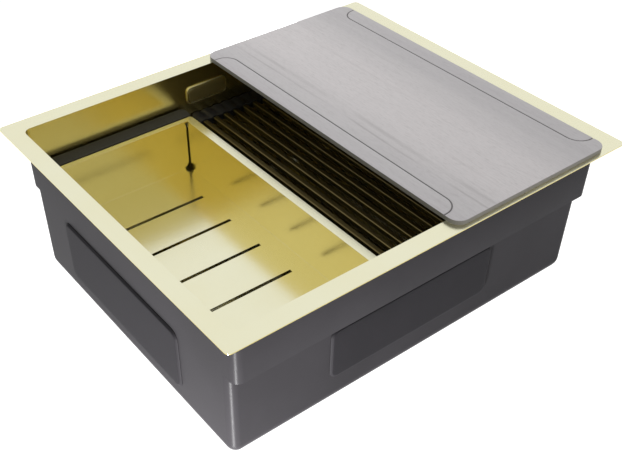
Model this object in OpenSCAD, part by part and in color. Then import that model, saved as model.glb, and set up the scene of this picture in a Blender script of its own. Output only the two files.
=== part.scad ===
// Workstation kitchen sink: a folded sheet bowl with a ledge, a lift-out colander,
// a roll-up draining mat and a cutting board that slides on the rim.
// The origin is the middle of the opening in the plane of the rim's top face.
// +X points right, +Y to the back and +Z up. All sizes are millimetres.

/* [Rim] */
// Outer width of the rim
rim_w = 590; // [580:1:620]
// Outer depth of the rim, front to back
rim_d = 500; // [490:1:520]
// Width of the rim's flat band on the left and right
rim_side = 22.6; // [20:0.1:26]
// Width of the rim's flat band at the front and back
rim_front = 24; // [21:0.1:26]
// Outer corner radius of the rim
rim_r = 6; // [4:0.5:12]
// Thickness of the bowl's sheet
sheet = 1.2; // [0.8:0.1:1.5]

/* [Bowl] */
// Depth of the ledge's top below the rim
ledge_depth = 76; // [70:1:90]
// Width of the ledge at the front and back
ledge_w = 11.4; // [10:0.1:14]
// Depth of the floor below the rim
bowl_depth = 206.2; // [195:0.1:220]
// Inner radius of the upright corners
corner_r = 10; // [8:0.5:12]
// Inner radius along the edges of the floor
floor_r = 17.5; // [10:0.5:25]
// Thickness of the sprayed coat on the outside
coat = 0.6; // [0.4:0.1:0.8]

/* [Pads] */
// Thickness of the stuck-on sound pads
pad_t = 3; // [2:0.5:3]
// Corner radius of the pads
pad_r = 11; // [6:1:16]
// Width of the front and back pads
front_pad_w = 253; // [180:1:300]
// Height of the front and back pads
front_pad_h = 76; // [60:1:85]
// Width of the side pads
side_pad_w = 258; // [180:1:300]
// Height of the side pads
side_pad_h = 89; // [60:1:100]

/* [Cutting board] */
// Size of the board across the sink's width
board_w = 252; // [200:1:280]
// Length of the board, front to back
board_l = 486.5; // [470:0.5:490]
// Thickness of the board
board_t = 6; // [5:0.5:20]
// Corner radius of the board
board_r = 15; // [5:1:25]
// Middle of the board, measured to the right of the origin
board_x = 139; // [110:0.5:150]
// Width of the finger strip that a groove marks along each long edge
grip_w = 24.2; // [15:0.1:30]
// Depth of the groove round each finger strip
grip_depth = 1.2; // [0.5:0.1:3]
// Length of the finger strips
grip_l = 443; // [300:1:450]

/* [Colander] */
// Inner width of the colander's box
colander_w = 204.25; // [190:0.25:205]
// Inner length of the colander's box, front to back
colander_l = 396.8; // [380:0.2:398]
// Inner height of the colander's box
colander_h = 76.5; // [50:0.5:90]
// Width of the colander's flange on the left and right
colander_lip = 11.75; // [10:0.25:11.75]
// Depth of the colander's flange below the rim
colander_top = 55; // [50:1:58]
// Number of slots in the colander's floor
slot_count = 5; // [3:1:6]
// Distance from one slot to the next
slot_pitch = 65.8; // [50:0.1:66]
// Length of each slot
slot_l = 153.5; // [100:0.5:160]

/* [Roll-up mat] */
// Number of rods
rod_count = 17; // [10:1:17]
// Distance from one rod to the next
rod_pitch = 17; // [14:0.5:17]
// Outer size of a rod's square section
rod_size = 8; // [6:0.5:8]
// Left side of the first rod, measured from the origin
rod_start = -25; // [-26:0.5:-20]

/* [Waste and overflow] */
// Radius of the hole in the floor
waste_hole_r = 45; // [45:0.5:46]
// Radius of the threaded outlet under the strainer
outlet_r = 23.9; // [23.9:0.1:24.5]
// Width of the overflow's cover
cover_w = 66; // [64:1:70]
// Height of the overflow's cover
cover_h = 25; // [24:0.5:26]
// Depth of the cover's middle below the rim
cover_depth = 37; // [35:1:40]

/* [Hidden] */
$fn = 96;

// The bowl, worked out from the rim
open_w = rim_w - 2 * rim_side;
open_d = rim_d - 2 * rim_front;
low_d = open_d - 2 * ledge_w;
skin = sheet + coat;
side_x = open_w / 2 + skin;
lower_y = low_d / 2 + skin;
base_z = -bowl_depth - skin;
ledge_z = -ledge_depth;

// The round seat pressed into the floor for the strainer
seat_depth = 2.5;
seat_r = 58;
seat_z = -bowl_depth - seat_depth;
seat_under = seat_z - sheet;

// Shallow channels pressed into the floor from the seat to the corners
channel_r = 20;
channel_depth = 0.5;
channel_end = 300;

// Places of the pads, from the middle of each wall
front_pad_x = -11;
front_pad_z = -126;
side_pad_y = 11;
side_pad_z = -130.5;
base_pad_x = 162;
base_pad_w = 170;
base_pad_d = 290;

// The sealing strip under the rim
seal_gap = 3;
seal_w = 7;
seal_t = 2;

// The overflow, from the bowl's back wall outwards
wall_y = open_d / 2;
slot_w = 40;
slot_h = 14;
slot_r = 6.8;
ovf_screw_x = 25;
ovf_screw_r = 1.75;
ovf_screw_clear = 2.1;
ovf_head_r = 3.2;
ovf_head_h = 0.9;
ovf_drive_l = 3.6;
ovf_drive_w = 0.8;
ovf_drive_deep = 0.5;
ovf_grip = 2;
cover_deep = 2.2;
cover_t = 1;
cover_r = 7;
groove_in = 1.6;
groove_w = 1.4;
groove_deep = 0.4;
gap_below = 4.5;
lug_x = 10;
lug_w = 6;
lug_t = 1.2;
lug_drop = 2.2;
ovf_seal_t = 2;
ovf_seal_h = 30;
chute_y = wall_y + skin + ovf_seal_t;
chute_w = 66;
chute_deep = 9.8;
chute_t = 2;
chute_r = 6;
chute_top = -20;
chute_base = -84;
foot_w = 28;
foot_gap = 1.2;
foot_top = ledge_z - skin - foot_gap;
foot_base = -87;
foot_y = lower_y + pad_t + foot_gap;
foot_roof = 1;

// The hose from the overflow to the strainer
hose_r = 9;
hose_bore = 7.5;
spigot_r = 7.3;
spigot_bore = 5.6;
spigot_l = 15;
hose_y = foot_y + hose_r;
hose_top = foot_base - 1;
hose_bend = 45;
port_z = -236;
port_tip = 72;
hose_end = 56;
clamp_r = 10.2;
clamp_w = 10;
clamp_in = 2;
collar_r = 10.2;

// The strainer, from the floor downwards
flange_t = 1;
flange_r = 56.5;
upper_seal_t = 1.3;
flange_z = seat_z + upper_seal_t;
flange_top = flange_z + flange_t;
cup_top_r = waste_hole_r - 2;
cup_low_r = cup_top_r - 4.8;
cup_shoulder = seat_z - 0.3;
cup_floor = -246.8;
strain_hole_r = 3.4;
strain_out_r = 29;
strain_in_r = 18;
lower_seal_t = 3;
body_top = seat_under - lower_seal_t;
body_r = 47;
body_wall = 3;
body_rim_r = 60;
body_rim_t = 4;
body_shoulder = -252;
outlet_top = -274;
outlet_end = -300;
outlet_bore = 20.5;
boss_r = 7;
boss_top = cup_floor - 2.4;
boss_end = -272;
arm_l = 30;
arm_t = 3;
arm_h = 14;
screw_r = 3;
screw_clear = 0.3;
screw_end = -268;
screw_head_r = 6;
screw_head_h = 2.6;
drive_l = 6.4;
drive_w = 1.4;
drive_deep = 1.4;

// The basket that lifts out of the strainer
basket_lip = flange_top - 1.2;
basket_lip_w = 2.3;
basket_t = 0.8;
basket_hole_r = 2;
basket_r = 40;
basket_low_r = 35.5;
basket_base = -240.8;
basket_seal_top = -226;
basket_seal_h = 5;
seal_clear = 0.35;
rivet_r = 5;
rivet_h = 1.6;
knob_r = 10.5;
knob_neck = 8.5;
knob_low = -218;
knob_top = -208.5;

// The colander and its end rails
colander_gap = 4.4;
colander_x = -open_w / 2 + colander_gap + colander_lip + colander_w / 2;
colander_t = 1;
colander_lip_r = 6;
fold_r = 1.5;
colander_out_w = colander_w + 2 * colander_lip;
colander_out_l = 412;
colander_floor = -colander_top - colander_h;
slot_cut = 5;
slot_shift = -2.2;
slit_w = 3;
slit_l = 8;
slit_top = -colander_top - 2.5;
notch_w = 5.5;
notch_h = 3;
relief_r = 7.5;
rail_gap = 0.8;
rail_clear = 0.5;
rail_back = wall_y - 3;
rail_skirt = 6.4;
rail_shelf = 4;
rail_crest = 2;
rail_top = -50;
rail_r = 11;

// The mat and its end strips
rod_l = 440;
rod_edge = 1.5;
rod_wall = 1;
rod_z = -70.5;
strip_over = 4;
strip_in = 200;
strip_out = wall_y - 1;
strip_top = -65;
strip_groove = 2;
strip_r = 6;
strip_w = (rod_count - 1) * rod_pitch + rod_size + 2 * strip_over;
strip_x = rod_start - strip_over + strip_w / 2;

// The board
board_y = -1.3;
grip_r = 20;
grip_line = 2.2;
grip_past = 25;

// Overlap that keeps cuts and joins clean
eps = 1;

gold = "#c9b46a";
gold_dark = "#a8924a";
grey = "#4a484c";
grey_dark = "#37363a";
grey_soft = "#3b3a36";
plastic = "#2c2d30";
rubber = "#222224";
bronze = "#6d5c33";
board_grey = "#bcb7bd";

// Flat rectangle with round corners, centred
module round_rect(w, d, r) {
  square([w - 2 * r, d], center = true);
  square([w, d - 2 * r], center = true);
  for (sx = [-1, 1])
    for (sy = [-1, 1])
      translate([sx * (w / 2 - r), sy * (d / 2 - r)])
        circle(r);
}

// Upright slab with round corners, from z to z + h
module slab(w, d, r, z, h) {
  translate([0, 0, z])
    linear_extrude(h)
      round_rect(w, d, r);
}

// Slab that stands in the XZ plane, from y to y + t
module upright(w, h, r, y, t) {
  translate([0, y + t, 0])
    rotate([90, 0, 0])
      linear_extrude(t)
        round_rect(w, h, r);
}

// Outline of a trough's end: square on top, round along the bottom
module trough_end(w, low, top, r) {
  translate([-w / 2, low + r])
    square([w, top - low - r]);
  translate([-w / 2 + r, low])
    square([w - 2 * r, top - low]);
  for (s = [-1, 1])
    translate([s * (w / 2 - r), low + r])
      circle(r);
}

// Box with upright corners of radius r and bottom edges of radius edge
module trough(w, d, low, top, r, edge) {
  intersection() {
    slab(w, d, r, low, top - low);
    rotate([90, 0, 0])
      linear_extrude(d + 2 * eps, center = true)
        trough_end(w, low, top + eps, edge);
    rotate([90, 0, 90])
      linear_extrude(w + 2 * eps, center = true)
        trough_end(d, low, top + eps, edge);
  }
}

// The space inside the bowl, grown outwards on every side and closed at top
module bowl_space(grow, top) {
  low = ledge_z - grow;
  slab(open_w + 2 * grow, open_d + 2 * grow, corner_r + grow, low, top - low);
  trough(open_w + 2 * grow, low_d + 2 * grow, -bowl_depth - grow, ledge_z + eps,
         corner_r + grow, floor_r + grow);
  translate([0, 0, seat_z - grow])
    cylinder(h = seat_depth + grow + eps, r = seat_r + grow);
}

// The overflow's slot through the wall, with room for its two screws
module overflow_cut(y, t, screw_hole) {
  translate([0, 0, -cover_depth]) {
    upright(slot_w, slot_h, slot_r, y, t);
    for (s = [-1, 1])
      translate([s * ovf_screw_x, y + t, 0])
        rotate([90, 0, 0])
          cylinder(h = t, r = screw_hole);
  }
}

// Round bar or bore along the hose's whole way
module hose_way(r, extra) {
  drop = hose_top - port_z - hose_bend;
  run = hose_y - hose_bend - hose_end;
  translate([0, hose_y, port_z + hose_bend])
    cylinder(h = drop + extra, r = r);
  translate([0, hose_y - hose_bend, port_z + hose_bend])
    rotate([-90, 0, 90])
      rotate_extrude(angle = 90)
        translate([hose_bend, 0])
          circle(r);
  translate([0, hose_end - extra, port_z])
    rotate([-90, 0, 0])
      cylinder(h = run + extra, r = r);
}

// Flat ring
module ring(outer, inner, z, h) {
  translate([0, 0, z])
    difference() {
      cylinder(h = h, r = outer);
      translate([0, 0, -eps])
        cylinder(h = h + 2 * eps, r = inner);
    }
}

// Ring of upright holes
module hole_ring(count, ring_r, hole_r, z, h) {
  for (i = [0 : count - 1])
    rotate([0, 0, i * 360 / count])
      translate([ring_r, 0, z])
        cylinder(h = h, r = hole_r);
}

// Four shallow channels that lead the water to the seat
module floor_channels() {
  for (sx = [-1, 1])
    for (sy = [-1, 1])
      translate([0, 0, channel_r - bowl_depth - channel_depth])
        rotate([0, 0, atan2(sy * low_d, sx * open_w)])
          rotate([0, 90, 0])
            translate([0, 0, waste_hole_r])
              cylinder(h = channel_end - waste_hole_r, r = channel_r);
}

module sink_bowl() {
  color(gold)
    difference() {
      union() {
        slab(rim_w, rim_d, rim_r, -sheet, sheet);
        bowl_space(sheet, -sheet / 2);
      }
      bowl_space(0, eps);
      floor_channels();
      translate([0, 0, seat_z - 2 * sheet])
        cylinder(h = 4 * sheet, r = waste_hole_r);
      overflow_cut(wall_y - eps, sheet + 2 * eps, ovf_screw_clear);
    }
}

module sound_coat() {
  color(grey)
    difference() {
      bowl_space(skin, -sheet);
      bowl_space(sheet, eps);
      translate([0, 0, seat_under - 2 * eps])
        cylinder(h = seat_depth + 2.5 * eps, r = seat_r + skin + 2);
      overflow_cut(wall_y, skin + eps, ovf_screw_clear);
    }
}

module front_pad() {
  color(grey_dark)
    translate([front_pad_x, 0, front_pad_z])
      upright(front_pad_w, front_pad_h, pad_r, -lower_y - pad_t, pad_t);
}

module back_pad() {
  color(grey_dark)
    translate([front_pad_x, 0, front_pad_z])
      upright(front_pad_w, front_pad_h, pad_r, lower_y, pad_t);
}

module side_pad(x) {
  translate([x, side_pad_y, side_pad_z])
    rotate([90, 0, 90])
      linear_extrude(pad_t)
        round_rect(side_pad_w, side_pad_h, pad_r);
}

module left_pad() {
  color(grey_dark)
    side_pad(-side_x - pad_t);
}

module right_pad() {
  color(grey_dark)
    side_pad(side_x);
}

module base_pad_left() {
  color(grey_dark)
    translate([-base_pad_x, 0, 0])
      slab(base_pad_w, base_pad_d, pad_r, base_z - pad_t, pad_t);
}

module base_pad_right() {
  color(grey_dark)
    translate([base_pad_x, 0, 0])
      slab(base_pad_w, base_pad_d, pad_r, base_z - pad_t, pad_t);
}

module rim_seal() {
  outer_w = rim_w - 2 * seal_gap;
  outer_d = rim_d - 2 * seal_gap;
  color(rubber)
    difference() {
      slab(outer_w, outer_d, rim_r - seal_gap, -sheet - seal_t, seal_t);
      slab(outer_w - 2 * seal_w, outer_d - 2 * seal_w, rim_r - seal_gap,
           -sheet - seal_t - eps, seal_t + 2 * eps);
    }
}

// The line round the cover's inner field, cut to a depth
module cover_line(deep) {
  front = wall_y - cover_deep;
  difference() {
    upright(cover_w - 2 * groove_in, cover_h - 2 * groove_in, cover_r - groove_in,
            front - eps, eps + deep);
    upright(cover_w - 2 * groove_in - 2 * groove_w, cover_h - 2 * groove_in - 2 * groove_w,
            cover_r - groove_in - groove_w, front - 2 * eps, deep + 4 * eps);
  }
}

// Shallow plate that stands on the wall over the slot. The line round its inner field is a gap
// for the water along the bottom and the sides, and a groove along the top, where the field hangs
module overflow_cover() {
  front = wall_y - cover_deep;
  color(gold_dark)
    translate([0, 0, -cover_depth]) {
      difference() {
        upright(cover_w, cover_h, cover_r, front, cover_deep);
        upright(cover_w - 2 * cover_t, cover_h - 2 * cover_t, cover_r - cover_t,
                front + cover_t, cover_deep);
        translate([-slot_w / 2, front + cover_t, -cover_h])
          cube([slot_w, cover_deep, cover_h]);
        cover_line(groove_deep);
        intersection() {
          cover_line(cover_t + eps);
          translate([-cover_w / 2, front - eps, gap_below - cover_h])
            cube([cover_w, cover_t + 2 * eps, cover_h]);
        }
      }
      for (s = [-1, 1])
        translate([s * lug_x - lug_w / 2, front + cover_t / 2, slot_h / 2 - lug_drop])
          cube([lug_w, cover_deep + skin + lug_t, lug_t]);
    }
}

module overflow_seal() {
  color(rubber)
    difference() {
      translate([0, 0, -cover_depth])
        upright(chute_w, ovf_seal_h, chute_r, wall_y + skin, ovf_seal_t);
      overflow_cut(wall_y + skin - eps, ovf_seal_t + 2 * eps, ovf_screw_clear);
    }
}

// Flat duct behind the wall that leads the water down to the hose
module overflow_chute() {
  tall = chute_top - chute_base;
  mid = (chute_top + chute_base) / 2;
  foot_d = chute_y + chute_deep - foot_y;
  color(plastic)
    difference() {
      union() {
        translate([0, 0, mid])
          upright(chute_w, tall, chute_r, chute_y, chute_deep);
        translate([-foot_w / 2, foot_y, foot_base])
          cube([foot_w, foot_d, foot_top - foot_base]);
        translate([0, hose_y, foot_base - spigot_l])
          cylinder(h = spigot_l + eps, r = spigot_r);
      }
      translate([0, 0, mid])
        upright(chute_w - 2 * chute_t, tall - 2 * chute_t, chute_r - chute_t,
                chute_y + chute_t, chute_deep - 2 * chute_t);
      translate([-foot_w / 2 + chute_t, foot_y + chute_t, foot_base + chute_t])
        cube([foot_w - 2 * chute_t, foot_d - 2 * chute_t,
              foot_top - foot_base - chute_t - foot_roof]);
      translate([0, hose_y, foot_base - spigot_l - eps])
        cylinder(h = spigot_l + chute_t + 2 * eps, r = spigot_bore);
      overflow_cut(chute_y - eps, chute_t + 2 * eps, ovf_screw_r);
    }
}

module overflow_screws() {
  color("silver")
    for (s = [-1, 1])
      translate([s * ovf_screw_x, wall_y, -cover_depth])
        rotate([90, 0, 0])
          difference() {
            union() {
              cylinder(h = ovf_head_h, r = ovf_head_r);
              translate([0, 0, -skin - ovf_seal_t - ovf_grip])
                cylinder(h = skin + ovf_seal_t + ovf_grip + eps, r = ovf_screw_r);
            }
            for (a = [0, 90])
              rotate([0, 0, a])
                translate([-ovf_drive_l / 2, -ovf_drive_w / 2, ovf_head_h - ovf_drive_deep])
                  cube([ovf_drive_l, ovf_drive_w, eps]);
          }
}

module overflow_hose() {
  color(plastic)
    difference() {
      hose_way(hose_r, 0);
      hose_way(hose_bore, eps);
    }
}

// Two screw bands, one over each end of the hose
module hose_clamps() {
  color("silver") {
    translate([0, hose_y, hose_top - clamp_in - clamp_w])
      ring(clamp_r, hose_r, 0, clamp_w);
    translate([0, hose_end + clamp_in, port_z])
      rotate([-90, 0, 0])
        ring(clamp_r, hose_r, 0, clamp_w);
  }
}

module flange_seal() {
  color(rubber)
    ring(seat_r - 2, waste_hole_r + 1, seat_z, upper_seal_t);
}

// Dished steel strainer, clamped down by the screw in its middle
module strainer_flange() {
  wall_r = cup_top_r + flange_t;
  color(gold)
    difference() {
      rotate_extrude()
        polygon([[0, cup_floor - sheet], [cup_low_r + flange_t, cup_floor - sheet],
                 [wall_r, cup_shoulder], [wall_r, flange_z], [flange_r, flange_z],
                 [flange_r, flange_top], [cup_top_r, flange_top],
                 [cup_top_r, cup_shoulder], [cup_low_r, cup_floor], [0, cup_floor]]);
      hole_ring(12, strain_out_r, strain_hole_r, cup_floor - 2 * sheet, 4 * sheet);
      hole_ring(8, strain_in_r, strain_hole_r, cup_floor - 2 * sheet, 4 * sheet);
      translate([0, 0, cup_floor - 2 * sheet])
        cylinder(h = 4 * sheet, r = screw_r + screw_clear);
    }
}

module body_seal() {
  color(rubber)
    ring(seat_r, body_r, body_top, lower_seal_t);
}

// Moulded housing under the floor, with the threaded outlet and the hose port
module strainer_body() {
  outer_r = body_r + body_wall;
  outside = [[0, body_top], [body_rim_r, body_top], [body_rim_r, body_top - body_rim_t],
             [outer_r, body_top - body_rim_t], [outer_r, body_shoulder - 2],
             [outlet_r, outlet_top], [outlet_r, outlet_end], [0, outlet_end]];
  color(plastic) {
    difference() {
      union() {
        rotate_extrude()
          polygon(outside);
        translate([0, body_r + eps, port_z])
          rotate([-90, 0, 0])
            cylinder(h = port_tip - body_r - eps, r = spigot_r);
        translate([0, body_r + eps, port_z])
          rotate([-90, 0, 0])
            cylinder(h = hose_end - body_r - eps, r = collar_r);
      }
      rotate_extrude()
        polygon([[0, body_top + eps], [body_r, body_top + eps], [body_r, body_shoulder],
                 [outlet_bore, outlet_top + 2], [outlet_bore, outlet_end - eps],
                 [0, outlet_end - eps]]);
      translate([0, body_r - body_wall, port_z])
        rotate([-90, 0, 0])
          cylinder(h = port_tip - body_r + body_wall + eps, r = spigot_bore);
    }
    difference() {
      union() {
        translate([0, 0, boss_end])
          cylinder(h = boss_top - boss_end, r = boss_r);
        intersection() {
          for (a = [30 : 120 : 270])
            rotate([0, 0, a])
              translate([boss_r - eps, -arm_t / 2, boss_end + eps])
                cube([arm_l, arm_t, arm_h]);
          rotate_extrude()
            polygon(outside);
        }
      }
      translate([0, 0, screw_end - 2])
        cylinder(h = boss_top - screw_end + 3, r = screw_r);
    }
  }
}

module clamp_screw() {
  color("silver")
    difference() {
      union() {
        translate([0, 0, cup_floor])
          cylinder(h = screw_head_h, r = screw_head_r);
        translate([0, 0, screw_end])
          cylinder(h = cup_floor - screw_end + eps, r = screw_r);
      }
      for (a = [0, 90])
        rotate([0, 0, a])
          translate([-drive_l / 2, -drive_w / 2, cup_floor + screw_head_h - drive_deep])
            cube([drive_l, drive_w, 2 * eps]);
    }
}

// Outer radius of the basket's wall and inner radius of the strainer's wall at height z
function basket_r_at(z) =
  basket_r + (basket_low_r - basket_r) * (basket_lip - z) / (basket_lip - basket_base);
function cup_r_at(z) =
  cup_top_r + (cup_low_r - cup_top_r) * (cup_shoulder - z) / (cup_shoulder - cup_floor);

module basket_cup() {
  floor_top = basket_base + basket_t;
  color(gold)
    difference() {
      rotate_extrude()
        polygon([[0, basket_base], [basket_low_r, basket_base], [basket_r, basket_lip],
                 [basket_r + basket_lip_w, basket_lip],
                 [basket_r + basket_lip_w, basket_lip + basket_t],
                 [basket_r - basket_t, basket_lip + basket_t],
                 [basket_low_r - basket_t, floor_top], [0, floor_top]]);
      for (row = [1 : 3])
        hole_ring(6 * row + 2, 8.25 * row + 2.75, basket_hole_r, basket_base - eps,
                  2 * eps + basket_t);
      translate([0, 0, basket_base - eps])
        cylinder(h = 2 * eps + basket_t, r = screw_r);
    }
}

module basket_seal() {
  low = basket_seal_top - basket_seal_h;
  color(rubber)
    rotate_extrude()
      polygon([[basket_r_at(basket_seal_top), basket_seal_top],
               [cup_r_at(basket_seal_top) - seal_clear, basket_seal_top],
               [cup_r_at(low) - seal_clear, low], [basket_r_at(low), low]]);
}

module basket_knob() {
  color(gold_dark)
    rotate_extrude()
      polygon([[0, basket_base - rivet_h], [rivet_r, basket_base - rivet_h],
               [rivet_r, basket_base], [screw_r, basket_base], [screw_r, knob_low],
               [knob_neck, knob_low + 1.5], [knob_r, knob_low + 4], [knob_r, knob_top - 3.5],
               [knob_neck, knob_top - 1], [0, knob_top]]);
}

// End rail of the colander: a skirt that stands on the ledge and a shelf for the flange
module colander_rail() {
  inner = colander_l / 2 + colander_t + rail_clear;
  flange_edge = colander_out_l / 2 + rail_gap;
  shelf = -colander_top - colander_t;
  color(grey_soft)
    translate([colander_x, 0, 0])
      intersection() {
        slab(colander_out_w, 2 * rail_back, rail_r, ledge_z, rail_top - ledge_z);
        rotate([90, 0, 90])
          linear_extrude(colander_out_w, center = true)
            polygon([[inner, shelf - rail_shelf], [rail_back - rail_skirt, shelf - rail_shelf],
                     [rail_back - rail_skirt, ledge_z], [rail_back, ledge_z],
                     [rail_back, rail_top], [rail_back - rail_crest, rail_top],
                     [flange_edge, rail_top - 4], [flange_edge, shelf], [inner, shelf]]);
      }
}

module colander_rail_back() {
  colander_rail();
}

module colander_rail_front() {
  mirror([0, 1, 0])
    colander_rail();
}

// Folded box with an open slit at each upright corner and slots in its floor
module colander_box() {
  low = colander_floor - colander_t;
  color(gold)
    translate([colander_x, 0, 0])
      difference() {
        union() {
          slab(colander_out_w, colander_out_l, colander_lip_r, -colander_top - colander_t,
               colander_t);
          slab(colander_w + 2 * colander_t, colander_l + 2 * colander_t, fold_r + colander_t,
               low, -colander_top - low - colander_t / 2);
        }
        slab(colander_w, colander_l, fold_r, colander_floor, colander_h + eps);
        for (sx = [-1, 1])
          for (sy = [-1, 1])
            translate([sx * colander_w / 2, sy * colander_l / 2, 0])
              rotate([0, 0, sx * sy * 45]) {
                translate([-slit_l / 2, -slit_w / 2, colander_floor])
                  cube([slit_l, slit_w, slit_top - colander_floor]);
                translate([-slit_l / 2, -notch_w / 2, slit_top - notch_h])
                  cube([slit_l, notch_w, notch_h]);
                translate([0, 0, colander_floor])
                  sphere(relief_r);
              }
        for (i = [0 : slot_count - 1])
          translate([-slot_l / 2, slot_shift + (i - (slot_count - 1) / 2) * slot_pitch - slot_cut / 2,
                     low - eps])
            cube([slot_l, slot_cut, colander_t + 2 * eps]);
      }
}

// Places the children once for each rod
module at_each_rod() {
  for (i = [0 : rod_count - 1])
    translate([rod_start + rod_size / 2 + i * rod_pitch, 0, rod_z])
      children();
}

module rod_bar(size, r, length) {
  rotate([90, 0, 0])
    linear_extrude(length, center = true)
      round_rect(size, size, r);
}

module mat_rods() {
  color(bronze)
    at_each_rod()
      difference() {
        rod_bar(rod_size, rod_edge, rod_l);
        rod_bar(rod_size - 2 * rod_wall, rod_edge - rod_wall, rod_l + 2 * eps);
      }
}

// Soft strip moulded over the rods' ends, grooved below between the rods
module mat_strip() {
  color(rubber)
    difference() {
      intersection() {
        translate([strip_x, 0, 0])
          slab(strip_w, 2 * strip_out, strip_r, ledge_z, strip_top - ledge_z);
        translate([strip_x - strip_w / 2, strip_in, ledge_z])
          cube([strip_w, strip_out - strip_in, strip_top - ledge_z]);
      }
      at_each_rod()
        rod_bar(rod_size, rod_edge, rod_l);
      for (i = [0 : rod_count - 2])
        translate([rod_start + rod_size / 2 + (i + 0.5) * rod_pitch, strip_in - eps, ledge_z])
          rotate([-90, 0, 0])
            cylinder(h = strip_out - strip_in + 2 * eps, r = strip_groove);
    }
}

module mat_strip_back() {
  mat_strip();
}

module mat_strip_front() {
  mirror([0, 1, 0])
    mat_strip();
}

// Groove round a finger strip, open at the board's edge
module grip_groove() {
  w = grip_w + grip_past;
  difference() {
    slab(w + grip_line, grip_l + grip_line, grip_r + grip_line / 2,
         board_t - grip_depth, grip_depth + eps);
    slab(w - grip_line, grip_l - grip_line, grip_r - grip_line / 2,
         board_t - grip_depth - eps, grip_depth + 3 * eps);
  }
}

module cutting_board() {
  color(board_grey)
    translate([board_x, board_y, 0])
      difference() {
        slab(board_w, board_l, board_r, 0, board_t);
        for (s = [-1, 1])
          translate([s * (board_w - grip_w + grip_past) / 2, 0, 0])
            grip_groove();
      }
}

sink_bowl();
sound_coat();
front_pad();
back_pad();
left_pad();
right_pad();
base_pad_left();
base_pad_right();
rim_seal();
overflow_cover();
overflow_seal();
overflow_chute();
overflow_screws();
overflow_hose();
hose_clamps();
flange_seal();
strainer_flange();
body_seal();
strainer_body();
clamp_screw();
basket_cup();
basket_seal();
basket_knob();
colander_rail_back();
colander_rail_front();
colander_box();
mat_rods();
mat_strip_back();
mat_strip_front();
cutting_board();
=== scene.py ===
# %% [markdown]
# # A workstation kitchen sink
# A folded sheet bowl in pale gold hangs by its rim. Its outside is sprayed grey and carries
# stuck-on sound pads. A colander on two end rails and a mat of square rods stand on a ledge inside,
# and a wood-grained board lies across the rim. Each cell below makes one piece or one finish and
# says what it made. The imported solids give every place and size, so the looks sit exactly on them.

# %% Load the frame
import math

import bmesh
import bpy
from mathutils import Matrix, Vector


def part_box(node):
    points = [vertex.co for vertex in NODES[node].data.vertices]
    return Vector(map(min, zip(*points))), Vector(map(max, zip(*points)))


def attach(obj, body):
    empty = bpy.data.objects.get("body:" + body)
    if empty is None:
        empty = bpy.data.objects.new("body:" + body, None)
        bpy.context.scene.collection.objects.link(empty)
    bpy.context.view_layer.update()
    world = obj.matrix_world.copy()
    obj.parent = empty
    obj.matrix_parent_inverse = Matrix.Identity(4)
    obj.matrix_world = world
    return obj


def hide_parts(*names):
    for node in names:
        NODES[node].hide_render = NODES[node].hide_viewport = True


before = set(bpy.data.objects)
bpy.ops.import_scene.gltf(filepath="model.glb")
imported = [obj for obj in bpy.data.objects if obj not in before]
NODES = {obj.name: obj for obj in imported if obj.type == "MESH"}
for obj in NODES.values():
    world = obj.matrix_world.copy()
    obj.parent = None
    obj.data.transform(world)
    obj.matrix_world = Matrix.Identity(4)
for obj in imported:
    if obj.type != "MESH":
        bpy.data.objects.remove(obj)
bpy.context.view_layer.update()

# %% [markdown]
# ## The photographer's place
# The picture is taken from the front left, well above the rim, with a slightly long lens. The
# place, the two angles and the lens below put the rim's corners where the photograph has them. The
# photograph is a crop, so the lens is shifted a little sideways and upwards.

# %% Camera
EYE = Vector((-0.6203, -0.7610, 0.6190))
AZIMUTH = math.radians(37.008)
ELEVATION = math.radians(42.999)
ROLL = math.radians(-0.416)
LENS = 53.597
CROP_SHIFT = (0.05251, 0.13805)


def look_matrix():
    """The camera's turn: its own right, up and backward directions as columns."""
    forward = Vector((math.sin(AZIMUTH) * math.cos(ELEVATION),
                      math.cos(AZIMUTH) * math.cos(ELEVATION),
                      -math.sin(ELEVATION)))
    right = Vector((math.cos(AZIMUTH), -math.sin(AZIMUTH), 0))
    up = right.cross(forward)
    tilted_right = right * math.cos(ROLL) + up * math.sin(ROLL)
    tilted_up = up * math.cos(ROLL) - right * math.sin(ROLL)
    return Matrix((tilted_right, tilted_up, -forward)).transposed().to_4x4()


lens = bpy.data.cameras.new("photo_camera")
lens.lens = LENS
lens.shift_x, lens.shift_y = CROP_SHIFT
lens.clip_start = 0.01
lens.clip_end = 50
camera = bpy.data.objects.new("photo_camera", lens)
camera.matrix_world = Matrix.Translation(EYE) @ look_matrix()
bpy.context.scene.collection.objects.link(camera)
bpy.context.scene.camera = camera
print("camera at", [round(v, 3) for v in EYE], "lens", lens.lens, "mm")

# %% [markdown]
# ## Writing shader maths as Python
# Blender builds a finish from small nodes joined by wires. Drawing forty wires by hand hides what
# a finish does, so a `Wire` stands for one socket and understands + - * and /. An expression such
# as `0.3 + 0.1 * grain` then adds the Math nodes by itself.

# %% Wire
class Wire:
    """One output socket that can stand in an expression."""

    def __init__(self, finish, socket):
        self.finish = finish
        self.socket = socket

    def math(self, operation, *others):
        node = self.finish.node("ShaderNodeMath", {"operation": operation},
                                dict(enumerate((self, *others))))
        return Wire(self.finish, node.outputs[0])

    def __add__(self, other):
        return self.math("ADD", other)

    def __sub__(self, other):
        return self.math("SUBTRACT", other)

    def __rsub__(self, other):
        return (self * -1) + other

    def __mul__(self, other):
        return self.math("MULTIPLY", other)

    def __truediv__(self, other):
        return self.math("DIVIDE", other)

    __radd__ = __add__
    __rmul__ = __mul__

    def spread(self, low, high):
        """0 at low, 1 at high and straight in between, held at both ends."""
        node = self.finish.node("ShaderNodeMapRange", None,
                                {"Value": self, "From Min": low, "From Max": high})
        return Wire(self.finish, node.outputs["Result"])


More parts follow.
